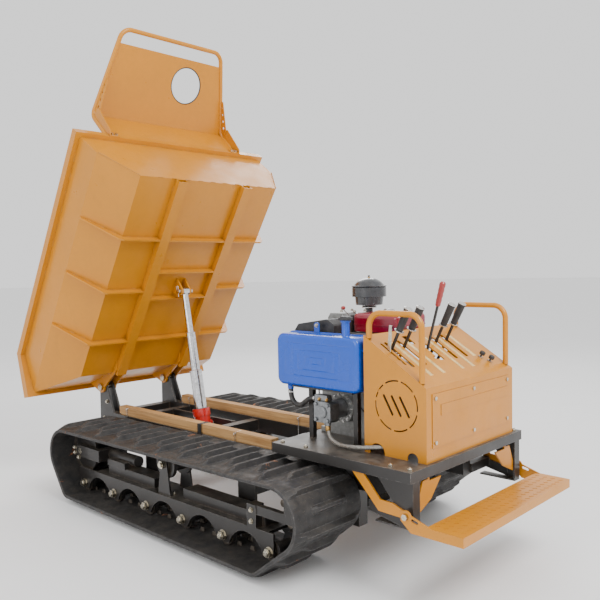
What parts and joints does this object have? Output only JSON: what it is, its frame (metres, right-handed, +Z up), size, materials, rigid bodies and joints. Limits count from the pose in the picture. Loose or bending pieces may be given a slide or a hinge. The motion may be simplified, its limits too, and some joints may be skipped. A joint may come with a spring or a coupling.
{
  "type": "tracked mini dumper",
  "caption": "Walk-behind tracked dumper with a tipping skip raised on a telescopic ram, engine and lever console at the rear and a folding step",
  "frame": {"origin": "on the ground below the middle of the overall box", "axes": "+X towards the end the skip tips over, +Y to the machine's left, +Z up"},
  "size_m": [2.9853, 1.4, 2.6694],
  "materials": {
    "yellow_paint": "satin",
    "dark_frame": "satin",
    "track_rubber": "matte",
    "dark_wheel": "satin",
    "sprocket_iron": "matte",
    "zinc": "satin",
    "timber": "matte",
    "tank_blue": "gloss",
    "engine_red": "gloss",
    "engine_cast": "matte",
    "black_plastic": "matte",
    "filter_black": "gloss",
    "grip_black": "matte",
    "grip_red": "gloss",
    "hose_black": "matte",
    "hose_braid": "satin",
    "ram_red": "gloss",
    "ram_chrome": "polished",
    "pump_alloy": "satin"
  },
  "bodies": {
    "machine": {"rubber_track_left": "track_rubber", "rubber_track_right": "track_rubber", "track_frames": "dark_frame", "wheel_axles": "zinc", "track_tensioners": "dark_frame", "final_drives": "dark_frame", "chassis_frame": "dark_frame", "bed_rest_beams": "timber", "engine_deck": "dark_frame", "step_braces": "yellow_paint", "console_body": "yellow_paint", "console_cover": "yellow_paint", "grab_rails": "yellow_paint", "engine_block": "engine_cast", "engine_cowl": "black_plastic", "engine_fuel_tank": "engine_red", "air_cleaner": "filter_black", "hydraulic_tank": "tank_blue", "gear_pump": "pump_alloy", "suction_hose": "hose_black", "pressure_hose": "hose_braid", "fixed_pins_and_screws": "zinc"},
    "skip": {"skip_tub": "yellow_paint", "skip_rim": "yellow_paint", "skip_ribs": "yellow_paint", "headboard": "yellow_paint", "skip_lugs": "yellow_paint", "skip_bolts": "zinc"},
    "ram_rod": {"ram_rod": "ram_chrome"},
    "ram_stage_middle": {"ram_stage_middle": "ram_chrome"},
    "ram_stage_outer": {"ram_stage_outer": "ram_chrome"},
    "ram_barrel": {"ram_barrel": "ram_red"},
    "drive_sprocket_left": {"drive_sprocket_left": "sprocket_iron"},
    "front_idler_left": {"front_idler_left": "dark_wheel"},
    "carrier_roller_left": {"carrier_roller_left": "dark_wheel"},
    "road_roller_left_1": {"road_roller_left_1": "dark_wheel"},
    "road_roller_left_2": {"road_roller_left_2": "dark_wheel"},
    "road_roller_left_3": {"road_roller_left_3": "dark_wheel"},
    "road_roller_left_4": {"road_roller_left_4": "dark_wheel"},
    "road_roller_left_5": {"road_roller_left_5": "dark_wheel"},
    "road_roller_left_6": {"road_roller_left_6": "dark_wheel"},
    "drive_sprocket_right": {"drive_sprocket_right": "sprocket_iron"},
    "front_idler_right": {"front_idler_right": "dark_wheel"},
    "carrier_roller_right": {"carrier_roller_right": "dark_wheel"},
    "road_roller_right_1": {"road_roller_right_1": "dark_wheel"},
    "road_roller_right_2": {"road_roller_right_2": "dark_wheel"},
    "road_roller_right_3": {"road_roller_right_3": "dark_wheel"},
    "road_roller_right_4": {"road_roller_right_4": "dark_wheel"},
    "road_roller_right_5": {"road_roller_right_5": "dark_wheel"},
    "road_roller_right_6": {"road_roller_right_6": "dark_wheel"},
    "step": {"step_platform": "yellow_paint"},
    "lever_outer_left": {"lever_outer_left": "grip_black"},
    "lever_inner_left": {"lever_inner_left": "grip_black"},
    "lever_inner_right": {"lever_inner_right": "grip_black"},
    "lever_outer_right": {"lever_outer_right": "grip_black"},
    "gear_lever": {"gear_lever": "grip_red"},
    "throttle_lever": {"throttle_lever": "zinc"},
    "pull_knob_upper": {"pull_knob_upper": "grip_red"},
    "pull_knob_lower": {"pull_knob_lower": "grip_red"},
    "tank_cap": {"tank_cap": "black_plastic"}
  },
  "joints": [
    {"name": "bed_tip", "type": "hinge", "parent": "machine", "child": "skip", "pos_m": [1.198, 0, 0.569], "axis": [0, 1, 0], "range_deg": [-58.5, 0]},
    {"name": "ram_eye_turn", "type": "hinge", "parent": "skip", "child": "ram_rod", "pos_m": [0.67975, 0, 1.16974], "axis": [0, 1, 0], "range_deg": [-14.74, 0]},
    {"name": "ram_close_middle", "type": "slide", "parent": "ram_rod", "child": "ram_stage_middle", "axis": [0.1827, 0, 0.9832], "range_m": [0, 0.2237]},
    {"name": "ram_close_outer", "type": "slide", "parent": "ram_stage_middle", "child": "ram_stage_outer", "axis": [0.1827, 0, 0.9832], "range_m": [0, 0.2237]},
    {"name": "ram_close_barrel", "type": "slide", "parent": "ram_stage_outer", "child": "ram_barrel", "axis": [0.1827, 0, 0.9832], "range_m": [0, 0.2237]},
    {"name": "drive_sprocket_left_spin", "type": "hinge", "parent": "machine", "child": "drive_sprocket_left", "pos_m": [-0.755, 0.495, 0.29], "axis": [0, 1, 0], "continuous": true},
    {"name": "front_idler_left_spin", "type": "hinge", "parent": "machine", "child": "front_idler_left", "pos_m": [0.929, 0.495, 0.268], "axis": [0, 1, 0], "continuous": true},
    {"name": "carrier_roller_left_spin", "type": "hinge", "parent": "machine", "child": "carrier_roller_left", "pos_m": [0.142, 0.495, 0.329], "axis": [0, 1, 0], "continuous": true},
    {"name": "road_roller_left_1_spin", "type": "hinge", "parent": "machine", "child": "road_roller_left_1", "pos_m": [0.892, 0.495, 0.092], "axis": [0, 1, 0], "continuous": true},
    {"name": "road_roller_left_2_spin", "type": "hinge", "parent": "machine", "child": "road_roller_left_2", "pos_m": [0.588, 0.495, 0.092], "axis": [0, 1, 0], "continuous": true},
    {"name": "road_roller_left_3_spin", "type": "hinge", "parent": "machine", "child": "road_roller_left_3", "pos_m": [0.284, 0.495, 0.092], "axis": [0, 1, 0], "continuous": true},
    {"name": "road_roller_left_4_spin", "type": "hinge", "parent": "machine", "child": "road_roller_left_4", "pos_m": [-0.02, 0.495, 0.092], "axis": [0, 1, 0], "continuous": true},
    {"name": "road_roller_left_5_spin", "type": "hinge", "parent": "machine", "child": "road_roller_left_5", "pos_m": [-0.324, 0.495, 0.092], "axis": [0, 1, 0], "continuous": true},
    {"name": "road_roller_left_6_spin", "type": "hinge", "parent": "machine", "child": "road_roller_left_6", "pos_m": [-0.628, 0.495, 0.092], "axis": [0, 1, 0], "continuous": true},
    {"name": "drive_sprocket_right_spin", "type": "hinge", "parent": "machine", "child": "drive_sprocket_right", "pos_m": [-0.755, -0.495, 0.29], "axis": [0, 1, 0], "continuous": true},
    {"name": "front_idler_right_spin", "type": "hinge", "parent": "machine", "child": "front_idler_right", "pos_m": [0.929, -0.495, 0.268], "axis": [0, 1, 0], "continuous": true},
    {"name": "carrier_roller_right_spin", "type": "hinge", "parent": "machine", "child": "carrier_roller_right", "pos_m": [0.142, -0.495, 0.329], "axis": [0, 1, 0], "continuous": true},
    {"name": "road_roller_right_1_spin", "type": "hinge", "parent": "machine", "child": "road_roller_right_1", "pos_m": [0.892, -0.495, 0.092], "axis": [0, 1, 0], "continuous": true},
    {"name": "road_roller_right_2_spin", "type": "hinge", "parent": "machine", "child": "road_roller_right_2", "pos_m": [0.588, -0.495, 0.092], "axis": [0, 1, 0], "continuous": true},
    {"name": "road_roller_right_3_spin", "type": "hinge", "parent": "machine", "child": "road_roller_right_3", "pos_m": [0.284, -0.495, 0.092], "axis": [0, 1, 0], "continuous": true},
    {"name": "road_roller_right_4_spin", "type": "hinge", "parent": "machine", "child": "road_roller_right_4", "pos_m": [-0.02, -0.495, 0.092], "axis": [0, 1, 0], "continuous": true},
    {"name": "road_roller_right_5_spin", "type": "hinge", "parent": "machine", "child": "road_roller_right_5", "pos_m": [-0.324, -0.495, 0.092], "axis": [0, 1, 0], "continuous": true},
    {"name": "road_roller_right_6_spin", "type": "hinge", "parent": "machine", "child": "road_roller_right_6", "pos_m": [-0.628, -0.495, 0.092], "axis": [0, 1, 0], "continuous": true},
    {"name": "step_fold", "type": "hinge", "parent": "machine", "child": "step", "pos_m": [-1.243, 0, 0.355], "axis": [0, 1, 0], "range_deg": [0, 86]},
    {"name": "outer_left_lever_swing", "type": "hinge", "parent": "machine", "child": "lever_outer_left", "pos_m": [-0.96345, 0.238, 0.82283], "axis": [0, 1, 0], "range_deg": [-24, 8]},
    {"name": "inner_left_lever_swing", "type": "hinge", "parent": "machine", "child": "lever_inner_left", "pos_m": [-0.96345, 0.15, 0.82283], "axis": [0, 1, 0], "range_deg": [-24, 8]},
    {"name": "inner_right_lever_swing", "type": "hinge", "parent": "machine", "child": "lever_inner_right", "pos_m": [-0.96345, -0.096, 0.82283], "axis": [0, 1, 0], "range_deg": [-24, 8]},
    {"name": "outer_right_lever_swing", "type": "hinge", "parent": "machine", "child": "lever_outer_right", "pos_m": [-0.96345, -0.182, 0.82283], "axis": [0, 1, 0], "range_deg": [-24, 8]},
    {"name": "gear_lever_swing", "type": "hinge", "parent": "machine", "child": "gear_lever", "pos_m": [-1.01428, 0.01, 0.79094], "axis": [0, 1, 0], "range_deg": [-8, 10]},
    {"name": "throttle_lever_swing", "type": "hinge", "parent": "machine", "child": "throttle_lever", "pos_m": [-1.02923, 0.27, 0.85239], "axis": [0, 1, 0], "range_deg": [-28, 12]},
    {"name": "pull_knob_upper_pull", "type": "slide", "parent": "machine", "child": "pull_knob_upper", "axis": [-0.5315, 0, 0.8471], "range_m": [0, 0.03]},
    {"name": "pull_knob_lower_pull", "type": "slide", "parent": "machine", "child": "pull_knob_lower", "axis": [-0.5315, 0, 0.8471], "range_m": [0, 0.03]},
    {"name": "tank_cap_turn", "type": "hinge", "parent": "machine", "child": "tank_cap", "pos_m": [-0.826, 0.29, 1.07], "axis": [0, 0, 1], "range_deg": [0, 90]}
  ],
  "couplings": [
    {"joint": "ram_eye_turn", "follows": "bed_tip", "ratio": 0.25111},
    {"joint": "ram_close_middle", "follows": "bed_tip", "m_per_rad": -0.21888},
    {"joint": "ram_close_outer", "follows": "bed_tip", "m_per_rad": -0.21888},
    {"joint": "ram_close_barrel", "follows": "bed_tip", "m_per_rad": -0.21888},
    {"joint": "front_idler_left_spin", "follows": "drive_sprocket_left_spin", "ratio": 1.0159},
    {"joint": "carrier_roller_left_spin", "follows": "drive_sprocket_left_spin", "ratio": 1.7297},
    {"joint": "road_roller_left_1_spin", "follows": "drive_sprocket_left_spin", "ratio": 2.56},
    {"joint": "road_roller_left_2_spin", "follows": "drive_sprocket_left_spin", "ratio": 2.56},
    {"joint": "road_roller_left_3_spin", "follows": "drive_sprocket_left_spin", "ratio": 2.56},
    {"joint": "road_roller_left_4_spin", "follows": "drive_sprocket_left_spin", "ratio": 2.56},
    {"joint": "road_roller_left_5_spin", "follows": "drive_sprocket_left_spin", "ratio": 2.56},
    {"joint": "road_roller_left_6_spin", "follows": "drive_sprocket_left_spin", "ratio": 2.56},
    {"joint": "front_idler_right_spin", "follows": "drive_sprocket_right_spin", "ratio": 1.0159},
    {"joint": "carrier_roller_right_spin", "follows": "drive_sprocket_right_spin", "ratio": 1.7297},
    {"joint": "road_roller_right_1_spin", "follows": "drive_sprocket_right_spin", "ratio": 2.56},
    {"joint": "road_roller_right_2_spin", "follows": "drive_sprocket_right_spin", "ratio": 2.56},
    {"joint": "road_roller_right_3_spin", "follows": "drive_sprocket_right_spin", "ratio": 2.56},
    {"joint": "road_roller_right_4_spin", "follows": "drive_sprocket_right_spin", "ratio": 2.56},
    {"joint": "road_roller_right_5_spin", "follows": "drive_sprocket_right_spin", "ratio": 2.56},
    {"joint": "road_roller_right_6_spin", "follows": "drive_sprocket_right_spin", "ratio": 2.56}
  ]
}
